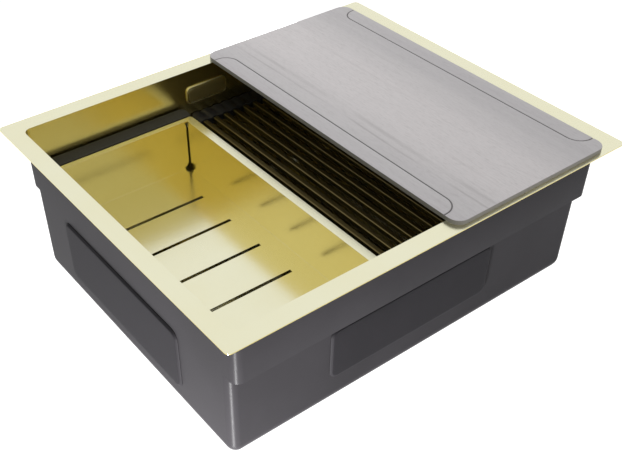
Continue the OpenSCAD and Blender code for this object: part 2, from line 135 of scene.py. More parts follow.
# %% [markdown]
# ## One class for a finish
# `Nodes` holds a node tree. Its `node` method adds any node from its type, its settings and the
# values of its sockets. `Finish` is the tree of a material, and its `shader` method sets the last
# shader. Fixed numbers go straight on the shader's sockets, and only what changes over the surface
# is wired.

# %% Finish
class Nodes:
    """A node tree and the one way in which nodes are added to it."""

    def __init__(self, tree):
        self.tree = tree

    def feed(self, socket, value):
        if isinstance(value, Wire):
            self.tree.links.new(value.socket, socket)
        else:
            socket.default_value = value

    def node(self, kind, settings=None, inputs=None):
        made = self.tree.nodes.new(kind)
        for key, value in (settings or {}).items():
            setattr(made, key, value)
        for key, value in (inputs or {}).items():
            self.feed(made.inputs[key], value)
        return made

    def seen(self):
        """1 for a ray from the camera, a mirror or clear matter, 0 for light on a surface."""
        path = self.node("ShaderNodeLightPath")
        camera, glossy, through = (Wire(self, path.outputs[kind]) for kind in (
            "Is Camera Ray", "Is Glossy Ray", "Is Transmission Ray"))
        return camera.math("MAXIMUM", glossy).math("MAXIMUM", through)


class Finish(Nodes):
    """A procedural material, built node by node."""

    def __init__(self, name):
        self.material = bpy.data.materials.new(name)
        self.material.use_nodes = True
        super().__init__(self.material.node_tree)
        self.principled = next(n for n in self.tree.nodes if n.type == "BSDF_PRINCIPLED")
        place = self.node("ShaderNodeTexCoord")
        self.place = Wire(self, place.outputs["Object"])

    def scaled(self, x, y, z):
        """The surface's own place, stretched by three factors."""
        made = self.node("ShaderNodeVectorMath", {"operation": "MULTIPLY"},
                         {0: self.place, 1: (x, y, z)})
        return Wire(self, made.outputs["Vector"])

    def noise(self, place, scale, detail=3.0, rough=0.55, warp=0.0):
        made = self.node("ShaderNodeTexNoise", None,
                         {"Vector": place, "Scale": scale, "Detail": detail,
                          "Roughness": rough, "Distortion": warp})
        return Wire(self, made.outputs["Fac"])

    def blend(self, factor, first, second):
        """A value or colour that goes from first to second."""
        made = self.node("ShaderNodeMix", {"data_type": "RGBA"})
        self.feed(made.inputs["Factor"], factor)
        self.feed(made.inputs[6], first if isinstance(first, Wire) else (*first, 1))
        self.feed(made.inputs[7], second if isinstance(second, Wire) else (*second, 1))
        return Wire(self, made.outputs[2])

    def part(self, vector, axis):
        """One of the three numbers of a vector."""
        made = self.node("ShaderNodeSeparateXYZ", None, {"Vector": vector})
        return Wire(self, made.outputs[axis])

    def facing(self, axis, way="Normal"):
        """How squarely the surface faces along an axis: 1 square, 0 edge on."""
        normal = self.node("ShaderNodeNewGeometry").outputs[way]
        return self.part(Wire(self, normal), axis).math("ABSOLUTE")

    def worn_edges(self, radius):
        """About 1 along sharp edges and 0 on open faces, broken up by a fine noise."""
        soft = self.node("ShaderNodeBevel", {"samples": 4}, {"Radius": radius})
        own = self.node("ShaderNodeNewGeometry").outputs["Normal"]
        turned = self.node("ShaderNodeVectorMath", {"operation": "DOT_PRODUCT"},
                           {0: Wire(self, soft.outputs["Normal"]), 1: Wire(self, own)})
        edge = (1 - Wire(self, turned.outputs["Value"])).spread(0.01, 0.18)
        return edge * self.noise(self.place, 160.0, 2.0).spread(0.25, 0.65)

    def bump(self, height, strength, distance):
        made = self.node("ShaderNodeBump", None,
                         {"Height": height, "Strength": strength, "Distance": distance})
        return Wire(self, made.outputs["Normal"])

    def shader(self, **sockets):
        for name, value in sockets.items():
            self.feed(self.principled.inputs[name.replace("_", " ")], value)
        print("finish:", self.material.name, len(self.tree.nodes), "nodes")
        return self.material

    def surface(self, shader):
        """Shows another shader in place of the usual one."""
        output = next(n for n in self.tree.nodes if n.type == "OUTPUT_MATERIAL")
        self.feed(output.inputs["Surface"], Wire(self, shader.outputs[0]))
        return self.material


# %% [markdown]
# ## Pale gold over brushed steel
# The bowl, the colander and the strainer are stainless sheet, brushed and then coated gold in a
# vacuum. What one sees is a mirror blurred along the brushing lines. Two stretched noises draw the
# lines: one runs level round the walls, the other runs along X on flat faces, and the way a face
# points picks between them. The way a face points also blends two colours: level faces get a pale
# champagne that is painted light from above, and upright walls the deeper gold of the coating. A
# slow noise adds the uneven haze that large sheets always have. Sharp edges are rubbed a little
# paler, but only near the rim, where hands and dishes reach them.

# %% Gold steel
# The pale gold and the pale bronze are painted light: the tone that level faces take when lit from
# above. The deeper colours are the coatings' own.
LIT_PALE_GOLD = (0.80, 0.785, 0.585)
DEEP_GOLD = (0.74, 0.625, 0.235)
SATIN_GOLD = (0.76, 0.67, 0.32)
LIT_PALE_BRONZE = (0.165, 0.13, 0.052)
DEEP_BRONZE = (0.12, 0.094, 0.034)
BARE = (0.80, 0.79, 0.72)
ALONG, BRUSH = 7, 1500
WEAR_BELOW, WEAR_ABOVE = -0.060, -0.056
WEAR_WIDTH = 0.0008


def gold_finish(name, pale, deep, rough, lines):
    finish = Finish(name)
    level = finish.noise(finish.scaled(ALONG, ALONG, BRUSH), 1.0, 4.0)
    across = finish.noise(finish.scaled(ALONG, BRUSH, ALONG), 1.0, 4.0)
    flat = finish.facing("Z").spread(0.35, 0.9)
    grain = level + flat * (across - level)
    haze = finish.noise(finish.place, 9.0, 4.0, 0.6)
    high = finish.part(finish.place, "Z").spread(WEAR_BELOW, WEAR_ABOVE)
    worn = finish.worn_edges(WEAR_WIDTH) * high
    # Level faces blend from the deep colour to the pale one: painted light from above.
    lit_level_tint = finish.blend(flat, deep, pale)
    hazy = finish.blend(haze.spread(0.35, 0.75) * 0.10, lit_level_tint, deep)
    return finish.shader(
        Base_Color=finish.blend(worn * 0.25, hazy, BARE),
        Metallic=1.0,
        Roughness=rough + 0.05 * (grain - 0.5) + 0.07 * (haze - 0.5) + 0.06 * worn,
        Normal=finish.bump(grain, lines, 0.0001))


bowl_gold = gold_finish("bowl_gold", LIT_PALE_GOLD, DEEP_GOLD, 0.24, 0.05)
colander_gold = gold_finish("colander_gold", LIT_PALE_GOLD, DEEP_GOLD, 0.21, 0.05)
cover_gold = gold_finish("cover_gold", LIT_PALE_GOLD, SATIN_GOLD, 0.34, 0.05)
rod_gold = gold_finish("rod_gold", LIT_PALE_BRONZE, DEEP_BRONZE, 0.38, 0.06)

# %% [markdown]
# ## Sprayed grey coat
# The outside is sprayed with a thick coat that deadens the drumming of the water. It dries to a
# satin grey with a fine orange-peel skin. Two noises make the skin, a coarse roll and a fine grit,
# and a slow one varies the gloss. Its mirror share is held very low, lower than real paint has, as
# the pale floor would wash the walls out at flat angles.

# %% Grey coat
COAT_DARK = (0.036, 0.034, 0.037)
COAT_LIGHT = (0.044, 0.0415, 0.0455)


def coat_finish():
    finish = Finish("sprayed_grey_coat")
    peel = finish.noise(finish.place, 420.0, 2.0)
    grit = finish.noise(finish.place, 2400.0, 1.0)
    cloud = finish.noise(finish.place, 7.0, 4.0)
    return finish.shader(
        Base_Color=finish.blend(cloud.spread(0.3, 0.7), COAT_DARK, COAT_LIGHT),
        Metallic=0.0, IOR=1.08,
        Roughness=0.32 + 0.10 * (cloud - 0.5) + 0.06 * (grit - 0.5),
        Normal=finish.bump(peel + 0.4 * grit, 0.16, 0.0003))


grey_coat = coat_finish()

# %% [markdown]
# ## Rubber, silicone and moulded plastic
# The pads are dense rubber sheet with a fine pebble, the seals and the mat's strips are smooth
# silicone, and the rails and the waste are moulded plastic. They share one recipe: a dark ground
# with a little cloudiness, a fine pebble in the height and its own gloss. Dust dulls silicone, so
# its ground is a touch lighter where the slow noise is high.

# %% Soft dark finishes
def dark_finish(name, deep, light, rough, pebble, height, sheen=0.3):
    finish = Finish(name)
    cells = finish.node("ShaderNodeTexVoronoi", {"feature": "F1"},
                        {"Vector": finish.place, "Scale": pebble})
    dots = Wire(finish, cells.outputs["Distance"])
    cloud = finish.noise(finish.place, 14.0, 5.0, 0.6)
    return finish.shader(
        Base_Color=finish.blend(cloud.spread(0.3, 0.72), deep, light),
        Metallic=0.0, Specular_IOR_Level=sheen,
        Roughness=rough + 0.12 * (cloud - 0.5) - 0.05 * dots,
        Normal=finish.bump(dots + 0.5 * cloud, height, 0.0003))


pad_rubber = dark_finish("pad_rubber", (0.019, 0.0178, 0.0203), (0.024, 0.0224, 0.0257),
                         0.55, 900.0, 0.20, 0.06)
silicone = dark_finish("strip_silicone", (0.014, 0.014, 0.014), (0.022, 0.021, 0.020),
                       0.42, 700.0, 0.08)
seal_rubber = dark_finish("seal_rubber", (0.010, 0.010, 0.010), (0.020, 0.020, 0.020),
                          0.60, 1200.0, 0.20)
rail_plastic = dark_finish("rail_plastic", (0.028, 0.0273, 0.0217), (0.036, 0.035, 0.028),
                           0.42, 1500.0, 0.10, 0.2)
waste_plastic = dark_finish("waste_plastic", (0.016, 0.016, 0.018), (0.024, 0.024, 0.026),
                            0.40, 1300.0, 0.15)

# %% [markdown]
# ## Plain steel
# The screws and the hose bands are left in their own colour: turned and drawn steel with fine
# lines round the part.

# %% Plain steel
def steel_finish():
    finish = Finish("plain_steel")
    lines = finish.noise(finish.scaled(60, 60, 2500), 1.0, 2.0)
    haze = finish.noise(finish.place, 60.0, 3.0)
    return finish.shader(
        Base_Color=finish.blend(haze, (0.62, 0.61, 0.60), (0.52, 0.51, 0.50)),
        Metallic=1.0,
        Roughness=0.25 + 0.12 * (lines - 0.5),
        Normal=finish.bump(lines, 0.15, 0.0001))


plain_steel = steel_finish()

# %% [markdown]
# ## Grey wood grain
# The board is bleached grey with a fine straight grain along its length and a few darker streaks.
# Noise squeezed across the board and drawn out along it gives both: a fine one for the pores, a
# broad one for the bands, and a thresholded one for the streaks. A paler band runs down the
# middle, and two broken dark seams, given by their middles and half widths in metres, run beside
# the left finger strip. Upright faces are darker than the top. The grooves are darker still, as
# painted shade in the recess; the long edges are painted shade and the short ends painted light.

# %% Board wood
GROOVE_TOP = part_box("cutting_board")[1].z
WOOD_DARK, WOOD_LIGHT = (0.470, 0.452, 0.462), (0.520, 0.503, 0.506)
WOOD_PALE = (0.635, 0.605, 0.605)
PALE_MIDDLE, PALE_REACH = 0.130, 0.090
SEAM_COLOUR = (0.30, 0.285, 0.285)
PORE_COLOUR = (0.30, 0.28, 0.28)
STREAK_COLOUR = (0.34, 0.31, 0.32)
# The groove colour is painted shade in the recess.
GROOVE_SHADE_COLOUR = (0.150, 0.142, 0.148)
# The long sides' darker colour is painted shade, and the short ends' lighter one is painted light.
LONG_SIDE_SHADE, SHORT_END_LIGHT = (0.155, 0.153, 0.140), (0.330, 0.312, 0.290)


def board_finish():
    finish = Finish("grey_board_wood")
    across = finish.part(finish.place, "X")
    height = finish.part(finish.place, "Z")
    sway = finish.noise(finish.scaled(1.5, 1.5, 1.5), 2.0, 2.0)
    fibres = finish.noise(finish.scaled(620, 22, 620), 1.0, 5.0, 0.62)
    pores = finish.noise(finish.scaled(900, 120, 900), 1.0, 3.0, 0.6)
    bands = finish.noise(finish.scaled(42, 1.6, 42), 1.0, 4.0, 0.5, 0.6)
    streaks = finish.noise(finish.scaled(120, 2.4, 120), 1.0, 3.0, 0.5, 0.4).spread(0.60, 0.70)
    ground = finish.blend(bands.spread(0.30, 0.70), WOOD_DARK, WOOD_LIGHT)
    pale = 1 - ((across - PALE_MIDDLE) / PALE_REACH).math("ABSOLUTE").spread(0.35, 1.0)
    lit = finish.blend(pale * 0.85, ground, WOOD_PALE)
    drift = across + 0.010 * (sway - 0.5)
    seam = (1 - ((drift - 0.0605) / 0.0022).math("ABSOLUTE").spread(0.1, 1.0)) * 0.5
    seam = seam + (1 - ((drift - 0.0735) / 0.0045).math("ABSOLUTE").spread(0.1, 1.0)) * 0.35
    broken = seam * finish.noise(finish.scaled(3, 9, 3), 1.0, 2.0).spread(0.38, 0.62)
    seamed = finish.blend(broken, lit, SEAM_COLOUR)
    pored = finish.blend(fibres.spread(0.35, 0.75) * 0.16, seamed, PORE_COLOUR)
    pitted = finish.blend(pores.spread(0.50, 0.72) * 0.30, pored, PORE_COLOUR)
    streaked = finish.blend(streaks * 0.14 + 0.04 * sway, pitted, STREAK_COLOUR)
    # Faces sunk below the top and facing up get the groove colour: painted shade in the grooves.
    groove_shade = height.spread(GROOVE_TOP - 0.0001, GROOVE_TOP - 0.0005)
    normal = Wire(finish, finish.node("ShaderNodeNewGeometry").outputs["Normal"])
    groove_shade = groove_shade * finish.part(normal, "Z").spread(0.2, 0.4)
    groove_shaded = finish.blend(groove_shade, streaked, GROOVE_SHADE_COLOUR)
    # Sides facing X get the darker colour and sides facing Y the lighter one: painted shade and
    # painted light.
    side_light_and_shade = finish.blend(finish.facing("Y", "True Normal"), LONG_SIDE_SHADE, SHORT_END_LIGHT)
    top = finish.facing("Z", "True Normal").spread(0.30, 0.6)
    return finish.shader(
        Base_Color=finish.blend(top, side_light_and_shade, groove_shaded),
        Metallic=0.0, Specular_IOR_Level=0.35,
        Roughness=0.50 + 0.12 * (fibres - 0.5),
        Normal=finish.bump(fibres + 0.6 * pores + 0.4 * bands, 0.14, 0.0002))


board_wood = board_finish()

# %% [markdown]
# ## Rings, lofts and placing
# Sheet metal, pads and the board are all rounded rectangles that change as they rise, so one
# helper draws such an outline as a ring of points and another skins a stack of rings. Every ring
# has the same number of points, quarter by quarter, which also lets a rounded rectangle melt into
# a circle at the waste.

# %% Ring helpers
MM = 0.001
CORNER_STEPS = 8
SIDE_STEPS = 6


def rounded_ring(half_x, half_y, radius, z, side_y=None):
    """A rounded rectangle, anticlockwise from the right end of the back right corner."""
    points = []
    for quarter in range(4):
        sign_x = 1 if quarter in (0, 3) else -1
        sign_y = 1 if quarter in (0, 1) else -1
        centre_x = sign_x * (half_x - radius)
        centre_y = sign_y * (half_y - radius)
        for step in range(CORNER_STEPS + 1):
            angle = math.radians(90 * (quarter + step / CORNER_STEPS))
            points.append((centre_x + radius * math.cos(angle),
                           centre_y + radius * math.sin(angle), z))
        if quarter % 2 == 0:
            reach_x, reach_y = half_x - radius, half_y
        else:
            reach_x, reach_y = half_x, side_y or half_y - radius
        for step in range(1, SIDE_STEPS):
            along = 1 - 2 * step / SIDE_STEPS
            if quarter % 2 == 0:
                points.append((sign_x * reach_x * along, sign_y * reach_y, z))
            else:
                points.append((sign_x * reach_x, sign_y * reach_y * along, z))
    return points


def circle_ring(radius, z):
    """A circle with as many points as a rounded ring, its eighths facing the corners."""
    steps = CORNER_STEPS + SIDE_STEPS
    points = []
    for i in range(4 * steps):
        angle = math.radians(45 + (i - CORNER_STEPS / 2) * 90 / steps)
        points.append((radius * math.cos(angle), radius * math.sin(angle), z))
    return points


def between(first, second, share, lower=0.0):
    """A ring part of the way between two others, pressed down on the four diagonals."""
    steps = CORNER_STEPS + SIDE_STEPS
    points = []
    for i, (a, b) in enumerate(zip(first, second)):
        on_crease = i % steps == CORNER_STEPS // 2
        x, y, z = (a[k] + (b[k] - a[k]) * share for k in range(3))
        points.append((x, y, z - lower if on_crease else z))
    return points


def skin_rows(mesh, rows):
    """Joins rows of points with quads that face up and inwards."""
    for outer, inner in zip(rows, rows[1:]):
        for i in range(len(outer)):
            mesh.faces.new((outer[i - 1], outer[i], inner[i], inner[i - 1]))


def loft(rings, first_cap=False, last_cap=False):
    """Skins a stack of rings given in millimetres."""
    mesh = bmesh.new()
    rows = [[mesh.verts.new(Vector(p) * MM) for p in ring] for ring in rings]
    skin_rows(mesh, rows)
    if first_cap:
        mesh.faces.new(list(reversed(rows[0])))
    if last_cap:
        mesh.faces.new(rows[-1])
    return mesh


def outward(mesh):
    """Turns every face of a closed mesh outwards."""
    bmesh.ops.recalc_face_normals(mesh, faces=mesh.faces[:])
    return mesh


def closed_rows(mesh, rows):
    """Joins rows of points with quads and closes both ends."""
    skin_rows(mesh, rows)
    mesh.faces.new(rows[0])
    mesh.faces.new(list(reversed(rows[-1])))


print("ring points:", len(circle_ring(1, 0)))

# %% [markdown]
# ## Turning a mesh into a piece
# A piece gets its modifiers here. Bends come first, on the bare surface; then the sheet gets its
# thickness, then holes are cut, and last a hair-thin bevel breaks the sharp edges so that they
# catch light. Weighted normals keep flat sheet looking flat next to its bends. Thin sheet with a
# raw edge also needs that edge marked as sharp, or its flange would mirror the wrong way.

# %% Piece helpers
SHARP = 50


def to_object(name, mesh):
    data = bpy.data.meshes.new(name)
    mesh.to_mesh(data)
    mesh.free()
    made = bpy.data.objects.new(name, data)
    bpy.context.scene.collection.objects.link(made)
    return made


def add_bevel(piece, width, steps, angle):
    bevel = piece.modifiers.new("edge", "BEVEL")
    bevel.width = width * MM
    bevel.segments = steps
    bevel.limit_method = "ANGLE"
    bevel.angle_limit = math.radians(angle)
    bevel.use_clamp_overlap = True


def bake(piece):
    """Replaces the mesh by what its modifiers make of it."""
    graph = bpy.context.evaluated_depsgraph_get()
    baked = bpy.data.meshes.new_from_object(piece.evaluated_get(graph))
    old = piece.data
    piece.modifiers.clear()
    piece.data = baked
    bpy.data.meshes.remove(old)


def cut(piece, cutters, operation="DIFFERENCE"):
    """Takes the cutters' shapes out of the piece, or keeps only what lies inside them."""
    for cutter in cutters:
        boolean = piece.modifiers.new("cut", "BOOLEAN")
        boolean.operation = operation
        boolean.solver = "EXACT"
        boolean.object = cutter
    bake(piece)
    for cutter in cutters:
        bpy.data.objects.remove(cutter)


def thicken(piece, thickness):
    solid = piece.modifiers.new("sheet", "SOLIDIFY")
    solid.thickness = thickness * MM
    solid.offset = -1
    solid.use_even_offset = True


def settle(piece, body, material, slot, *nodes):
    """Gives the piece its finish and its body and hides the solids that it stands for; the slot is
    not used.
    """
    piece.data.materials.clear()
    piece.data.materials.append(material)
    for face in piece.data.polygons:
        face.use_smooth = True
    weighted = piece.modifiers.new("even_shade", "WEIGHTED_NORMAL")
    weighted.keep_sharp = True
    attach(piece, body)
    if nodes:
        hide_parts(*nodes)
    print("piece:", piece.name, len(piece.data.vertices), "points on", body)


def block(low, high, turn=0.0, pivot=(0, 0)):
    """A box-shaped cutter, turned about an upright line."""
    mesh = bmesh.new()
    bmesh.ops.create_cube(mesh, size=1.0)
    middle = (Vector(low) + Vector(high)) / 2 * MM
    size = (Vector(high) - Vector(low)) * MM
    spin = Matrix.Rotation(math.radians(turn), 4, "Z")
    shift = Matrix.Translation(Vector((pivot[0], pivot[1], 0)) * MM)
    mesh.transform(shift @ spin @ Matrix.Translation(middle) @ Matrix.Diagonal((*size, 1)))
    return to_object("cutter", mesh)


# %% [markdown]
# ## The folded bowl
# The bowl has an upper box, a ledge at the front and back only, and a narrower lower box with a
# round edge along its floor. The side walls run straight down past the ledge, so the rows of
# points share their places there: the upper rows carry four extra points where the ledge dies
# into the side walls. The floor melts into the round seat of the waste, pressed down a little on
# four diagonals that lead the water in.

# %% Bowl sizes
rim_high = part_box("sink_bowl")[1]
RIM_X, RIM_Y = rim_high.x / MM, rim_high.y / MM
SHEET = 1.2
COAT = 0.6
RIM_CORNER = 6
SIDE_BAND, FRONT_BAND = 22.6, 24
LEDGE = 11.4
OPEN_X = RIM_X - SIDE_BAND
OPEN_Y = RIM_Y - FRONT_BAND
LOW_Y = OPEN_Y - LEDGE
CORNER = 10
LEDGE_Z = -76
FLOOR_Z = -206.2
FLOOR_EDGE = 17.5
FLOOR_STEPS = 8
SEAT_R = 58
SEAT_DEPTH = 2.5
WASTE_R = 45
OVERFLOW_HALF, OVERFLOW_LOW, OVERFLOW_TOP = 20, -44, -30
print("opening", 2 * OPEN_X, "by", 2 * OPEN_Y, "mm")


# %% Bowl surface
def bowl_skin(mesh, grow, top, rim, floor_rings):
    """One surface of the bowl, grown outwards, from its top or its rim down to the waste."""
    half_x = OPEN_X + grow
    corner = CORNER + grow
    ledge = LEDGE_Z - grow
    floor = FLOOR_Z - grow
    side_y = LOW_Y - CORNER
    quarter = CORNER_STEPS + SIDE_STEPS

    def upper_row(ring):
        """A row above the ledge, with extra points over the ends of the lower corners."""
        reach = ring[0][0]
        extra = {0: (reach, side_y), quarter + CORNER_STEPS + 1: (-reach, side_y),
                 2 * quarter: (-reach, -side_y), 3 * quarter + CORNER_STEPS + 1: (reach, -side_y)}
        points = []
        for i, point in enumerate(ring):
            if i in extra:
                points.append((*extra[i], point[2]))
            points.append(point)
        return [mesh.verts.new(Vector(p) * MM) for p in points]

    rings = [rounded_ring(half_x, OPEN_Y + grow, corner, z, side_y) for z in (top, ledge)]
    if rim:
        rings.insert(0, rounded_ring(RIM_X, RIM_Y, RIM_CORNER, top, side_y))
    rows = [upper_row(ring) for ring in rings]
    skin_rows(mesh, rows)
    ledge_row = rows[-1]

    shared = {(round(v.co.x, 6), round(v.co.y, 6)): v for v in ledge_row
              if abs(v.co.y) <= side_y * MM + 1e-6}
    low_row = []
    for x, y, z in rounded_ring(half_x, LOW_Y + grow, corner, ledge):
        key = (round(x * MM, 6), round(y * MM, 6))
        low_row.append(shared.get(key) or mesh.verts.new(Vector((x, y, z)) * MM))
    run = 2 * CORNER_STEPS + SIDE_STEPS
    for upper_first, lower_first in ((1, 0), (run + SIDE_STEPS + 3, 2 * quarter)):
        for i in range(run):
            mesh.faces.new((ledge_row[upper_first + i], ledge_row[upper_first + i + 1],
                            low_row[lower_first + i + 1], low_row[lower_first + i]))

    edge = FLOOR_EDGE + grow
    lower = []
    for step in range(FLOOR_STEPS + 1):
        angle = math.radians(90 * step / FLOOR_STEPS)
        inset = edge * (1 - math.cos(angle))
        lower.append(rounded_ring(half_x - inset, LOW_Y + grow - inset,
                                  max(corner - 0.55 * inset, 2.5),
                                  floor + edge * (1 - math.sin(angle))))
    made = [[mesh.verts.new(Vector(p) * MM) for p in ring]
            for ring in lower + floor_rings(lower[-1], floor)]
    skin_rows(mesh, [low_row, *made])
    return rows[0], made[-1]


def bowl_shell(name, inner, outer, rim, floor_rings):
    """A closed shell between two surfaces of the bowl; inner and outer are given as (grow, top)."""
    mesh = bmesh.new()
    in_top, in_hole = bowl_skin(mesh, *inner, rim, floor_rings)
    inner_faces = len(mesh.faces)
    out_top, out_hole = bowl_skin(mesh, *outer, rim, floor_rings)
    mesh.faces.ensure_lookup_table()
    bmesh.ops.reverse_faces(mesh, faces=mesh.faces[inner_faces:])
    skin_rows(mesh, [out_top, in_top])
    skin_rows(mesh, [in_hole, out_hole])
    return to_object(name, mesh)


# %% Bowl
def bowl_floor(last, floor):
    """From the floor's edge to the hole of the waste."""
    rim = circle_ring(SEAT_R + 1.5, floor)
    return [between(last, rim, 0.06, 0.3), between(last, rim, 0.55, 1.0), rim,
            circle_ring(SEAT_R, floor - SEAT_DEPTH), circle_ring(WASTE_R, floor - SEAT_DEPTH)]


bowl = bowl_shell("folded_bowl", (0, 0), (SHEET, -SHEET), True, bowl_floor)
add_bevel(bowl, width=1.6, steps=4, angle=50)
cut(bowl, [block((-OVERFLOW_HALF, OPEN_Y - 3, OVERFLOW_LOW),
                 (OVERFLOW_HALF, OPEN_Y + 4, OVERFLOW_TOP))])
settle(bowl, "sink", bowl_gold, "gold_steel", "sink_bowl")


# %% [markdown]
# ## The sprayed outside
# The coat follows the bowl's outside at an even thickness and stops short of the waste, where the
# seal has to meet bare steel. It is a shell between two more of the same surfaces.

# %% Coat
def coat_floor(last, floor):
    edge = circle_ring(SEAT_R + SHEET + COAT + 2, floor)
    return [between(last, edge, 0.5), edge]


coat = bowl_shell("sprayed_coat", (SHEET, -SHEET), (SHEET + COAT, -SHEET), False, coat_floor)
settle(coat, "sink", grey_coat, "grey_coat", "sound_coat")

# %% [markdown]
# ## Sound pads
# Each pad is moulded rubber sheet with a sloped border, pressed on by hand, so its face swells a
# little in the middle. A stack of rings draws the slope, a small round above it and the crown.

# %% Pads
PAD_R = 11


def pad_mesh(width, height, thick):
    half_x, half_y = width / 2, height / 2
    profile = [(0, 0), (0, 0.5), (0.3, 0.9), (2.2, thick - 0.5), (3.0, thick - 0.2),
               (4.2, thick - 0.1), (7, thick - 0.04), (10, thick)]
    rings = [rounded_ring(half_x - inset, half_y - inset, PAD_R - inset, up)
             for inset, up in profile]
    return loft(rings, first_cap=True, last_cap=True)


def make_pad(name, node, turn):
    """A pad in its solid's place; turn takes its face from up to the wall's outward side."""
    low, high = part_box(node)
    size = high - low
    thin = min(range(3), key=lambda k: size[k])
    wide, tall = {0: (1, 2), 1: (0, 2), 2: (0, 1)}[thin]
    mesh = pad_mesh(size[wide] / MM, size[tall] / MM, size[thin] / MM)
    mesh.transform(turn)
    box_low = Vector([min(v.co[k] for v in mesh.verts) for k in range(3)])
    mesh.transform(Matrix.Translation(low - box_low))
    pad = to_object(name, mesh)
    settle(pad, "sink", pad_rubber, "sound_pad", node)


make_pad("pad_front", "front_pad", Matrix.Rotation(math.radians(90), 4, "X"))
make_pad("pad_back", "back_pad", Matrix.Rotation(math.radians(-90), 4, "X"))
LEFT_TURN = Matrix.Rotation(math.radians(-90), 4, "Y") @ Matrix.Rotation(math.radians(90), 4, "Z")
RIGHT_TURN = Matrix.Rotation(math.radians(90), 4, "Y") @ Matrix.Rotation(math.radians(90), 4, "Z")
make_pad("pad_left", "left_pad", LEFT_TURN)
make_pad("pad_right", "right_pad", RIGHT_TURN)
for side in ("left", "right"):
    make_pad("pad_base_" + side, "base_pad_" + side, Matrix.Rotation(math.radians(180), 4, "X"))

# %% [markdown]
# ## The colander
# It is one folded blank: floor, four walls and a flange bent outwards. The walls aren't joined at
# the corners, so a thin slit shows light from the flange down to the hole that keeps the folds
# from tearing. Long slots across the floor let the water out.

# %% Colander
box_low, box_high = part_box("colander_box")
COL_X = (box_low.x + box_high.x) / 2 / MM
COL_OUT_X = (box_high.x - box_low.x) / 2 / MM
COL_OUT_Y = (box_high.y - box_low.y) / 2 / MM
COL_TOP = box_high.z / MM
COL_SHEET = 1.0
COL_FLOOR = box_low.z / MM + COL_SHEET
COL_LIP = 11.75
COL_IN_X = COL_OUT_X - COL_LIP
COL_IN_Y = 198.4
FOLD_R = 0.3
FLANGE_R = 6
SLOTS = 5
SLOT_PITCH = 65.8
SLOT_SHIFT = -2.2
SLOT_HALF = (76.75, 2.5)
RELIEF_R = 7.5
SLIT_REACH, SLIT_HALF, SLIT_TOP = 4, 1.5, -2.5
MOUTH_HALF, MOUTH_LOW, MOUTH_TOP = 2.75, -5.5, -2.45


def shifted(ring, dx):
    return [(x + dx, y, z) for x, y, z in ring]


def colander_cutters():
    cutters = []
    for i in range(SLOTS):
        y = SLOT_SHIFT + (i - (SLOTS - 1) / 2) * SLOT_PITCH
        cutters.append(block((COL_X - SLOT_HALF[0], y - SLOT_HALF[1], COL_FLOOR - 3),
                             (COL_X + SLOT_HALF[0], y + SLOT_HALF[1], COL_FLOOR + 3)))
    for sx in (-1, 1):
        for sy in (-1, 1):
            corner = (COL_X + sx * COL_IN_X, sy * COL_IN_Y)
            turn = sx * sy * 45
            cutters.append(block((-SLIT_REACH, -SLIT_HALF, COL_FLOOR),
                                 (SLIT_REACH, SLIT_HALF, COL_TOP + SLIT_TOP), turn, corner))
            cutters.append(block((-SLIT_REACH, -MOUTH_HALF, COL_TOP + MOUTH_LOW),
                                 (SLIT_REACH, MOUTH_HALF, COL_TOP + MOUTH_TOP), turn, corner))
            relief = bmesh.new()
            bmesh.ops.create_uvsphere(relief, u_segments=32, v_segments=16, radius=RELIEF_R * MM)
            relief.transform(Matrix.Translation(Vector((*corner, COL_FLOOR)) * MM))
            cutters.append(to_object("cutter", relief))
    return cutters


rings = [rounded_ring(COL_OUT_X, COL_OUT_Y, FLANGE_R, COL_TOP),
         rounded_ring(COL_IN_X, COL_IN_Y, FOLD_R, COL_TOP),
         rounded_ring(COL_IN_X, COL_IN_Y, FOLD_R, COL_FLOOR)]
colander = to_object("colander", loft([shifted(r, COL_X) for r in rings], last_cap=True))
add_bevel(colander, width=0.2, steps=2, angle=30)
thicken(colander, COL_SHEET)
cut(colander, colander_cutters())
colander.data.set_sharp_from_angle(angle=math.radians(SHARP))
settle(colander, "colander", colander_gold, "gold_steel", "colander_box")


# %% [markdown]
# ## End rails of the colander
# Each rail is one moulded bar: a skirt that glides along the ledge and a rebate that carries the
# flange. Its section is drawn once and pulled along X, then mirrored for the front.

# %% Rails
def extruded(points, start, end, mirror_y=False):
    """A section in the YZ plane pulled along X."""
    mesh = bmesh.new()
    sign = -1 if mirror_y else 1
    closed_rows(mesh, [[mesh.verts.new(Vector((x, sign * y, z)) * MM) for y, z in points]
                       for x in (start, end)])
    return outward(mesh)


def rounded_slab(middle_x, half_x, half_y, radius, low, high):
    """A flat block with round corners, from one height to another, to cut a piece to."""
    rings = [rounded_ring(half_x, half_y, radius, z) for z in (low, high)]
    mesh = loft([shifted(ring, middle_x) for ring in rings], first_cap=True, last_cap=True)
    return to_object("cutter", outward(mesh))


RAIL_OUT = 223
RAIL_SECTION = [(199.9, -60), (216.6, -60), (216.6, -76), (RAIL_OUT, -76), (RAIL_OUT, -50),
                (221, -50), (206.8, -54), (206.8, -56), (199.9, -56)]
RAIL_R = 11
for end_name, mirrored in (("back", False), ("front", True)):
    rail = to_object("rail_" + end_name,
                     extruded(RAIL_SECTION, COL_X - COL_OUT_X, COL_X + COL_OUT_X, mirrored))
    cut(rail, [rounded_slab(COL_X, COL_OUT_X, RAIL_OUT, RAIL_R, -80, -40)], "INTERSECT")
    add_bevel(rail, width=0.5, steps=2, angle=25)
    settle(rail, "colander_rails", rail_plastic, "grey_plastic", "colander_rail_" + end_name)

# %% [markdown]
# ## The roll-up mat
# Square tubes with round edges lie side by side, their ends moulded into soft strips that bend
# when the mat is rolled. The strip dips between the tubes, because the silicone is thinner there.

